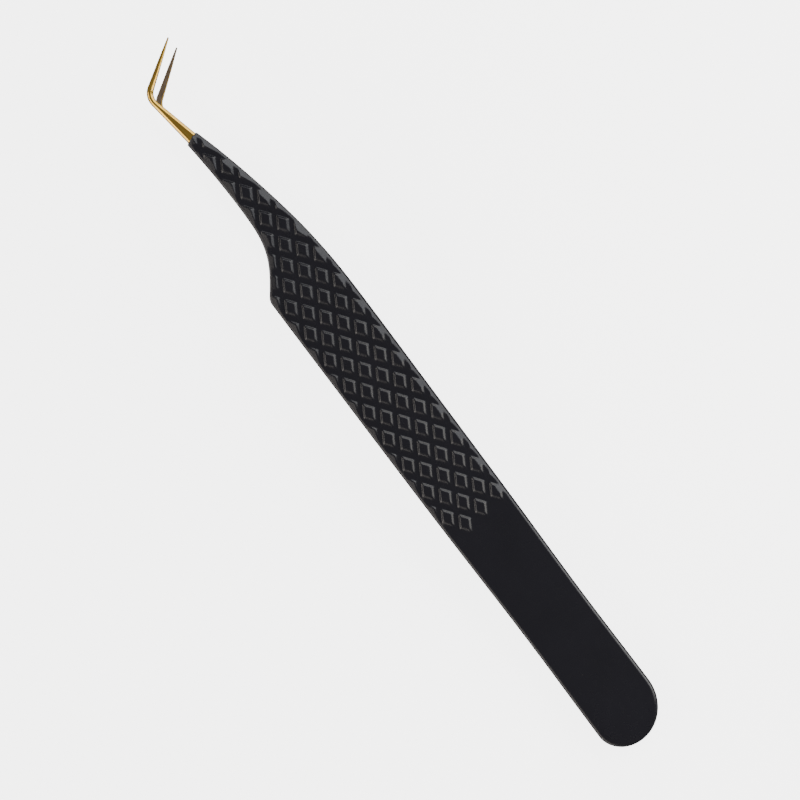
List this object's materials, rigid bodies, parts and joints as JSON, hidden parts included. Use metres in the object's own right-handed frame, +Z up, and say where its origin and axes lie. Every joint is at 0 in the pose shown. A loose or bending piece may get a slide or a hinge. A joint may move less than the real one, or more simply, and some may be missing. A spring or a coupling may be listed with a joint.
{
  "type": "angled lash tweezers",
  "caption": "Squeeze tweezers of two black diamond-gripped spring leaves joined at the heel, with gold needle tips bent aside for picking up lashes.",
  "frame": {"origin": "centre of the box that the tweezers fill, on the surface they lie on", "axes": "+X from the heel to the tips along the surface, +Z up; lying on the lower leaf, the plane midway between the leaves leans up from heel to tips by 2.53 degrees"},
  "size_m": [0.1212, 0.0112, 0.0111],
  "materials": {
    "black_coat": "satin black powder coat, diamond relief on the grip",
    "spring_steel": "bare stainless spring steel under the coat",
    "gold_plate": "polished gold plating over ground steel",
    "weld": "fused steel of the spot welds"
  },
  "bodies": {
    "heel": {"upper_heel_tab": "spring_steel", "upper_heel_coat": "black_coat", "lower_heel_tab": "spring_steel", "lower_heel_coat": "black_coat", "heel_weld_nuggets": "weld"},
    "upper_spring": {"upper_spring_strip": "spring_steel", "upper_spring_coat": "black_coat"},
    "upper_arm": {"upper_grip_blade": "spring_steel", "upper_grip_coat": "black_coat", "upper_gold_tip": "gold_plate"},
    "lower_spring": {"lower_spring_strip": "spring_steel", "lower_spring_coat": "black_coat"},
    "lower_arm": {"lower_grip_blade": "spring_steel", "lower_grip_coat": "black_coat", "lower_gold_tip": "gold_plate"}
  },
  "joints": [
    {"name": "upper_root_flex", "type": "hinge", "parent": "heel", "child": "upper_spring", "pos_m": [-0.04556, 0.00008, 0.0023], "axis": [0, 1, 0], "range_deg": [0, 1.21], "stiffness_Nm_per_rad": 2.4},
    {"name": "upper_arm_flex", "type": "hinge", "parent": "upper_spring", "child": "upper_arm", "pos_m": [-0.02418, 0.00008, 0.00423], "axis": [0, 1, 0], "range_deg": [0, 1.21], "stiffness_Nm_per_rad": 2.4},
    {"name": "lower_root_flex", "type": "hinge", "parent": "heel", "child": "lower_spring", "pos_m": [-0.04552, 0.00008, 0.0013], "axis": [0, -1, 0], "range_deg": [0, 1.21], "stiffness_Nm_per_rad": 2.4},
    {"name": "lower_arm_flex", "type": "hinge", "parent": "lower_spring", "child": "lower_arm", "pos_m": [-0.02405, 0.00008, 0.00125], "axis": [0, -1, 0], "range_deg": [0, 1.21], "stiffness_Nm_per_rad": 2.4}
  ],
  "couplings": [
    {"joint": "upper_arm_flex", "follows": "upper_root_flex", "ratio": 1},
    {"joint": "lower_root_flex", "follows": "upper_root_flex", "ratio": 1},
    {"joint": "lower_arm_flex", "follows": "upper_root_flex", "ratio": 1}
  ]
}
